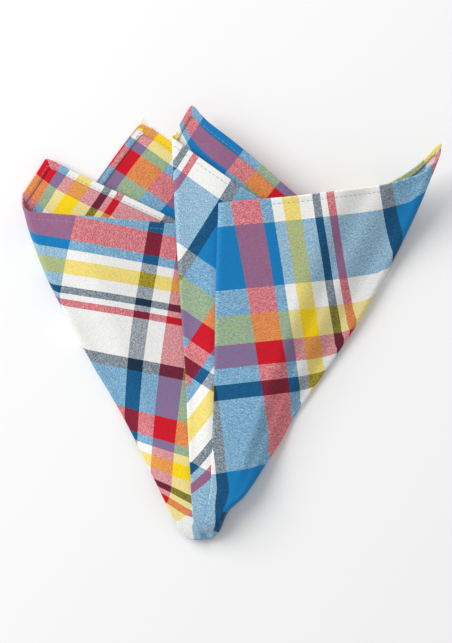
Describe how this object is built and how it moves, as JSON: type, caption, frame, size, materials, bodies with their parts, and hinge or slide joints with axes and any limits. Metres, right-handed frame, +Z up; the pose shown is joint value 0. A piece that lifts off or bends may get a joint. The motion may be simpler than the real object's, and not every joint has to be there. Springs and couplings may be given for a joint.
{
  "type": "folded plaid handkerchief",
  "caption": "hemmed square of plaid cotton, picked up at its middle and laid down as a fan of pleats; dresses a breast pocket, wipes, wraps or covers",
  "frame": {"origin": "middle of the box's floor, on the surface that the cloth lies on", "axes": "+Z up off the surface, +Y from the rounded tip towards the hems, +X towards the lifted corner at the picture's right"},
  "size_m": [0.2098, 0.2185, 0.0299],
  "materials": {
    "plaid_cotton": "matte woven cotton, yarn-dyed plaid of white, blue, navy, red and yellow"
  },
  "bodies": {
    "root": {"handkerchief": "plaid_cotton"}
  },
  "joints": []
}
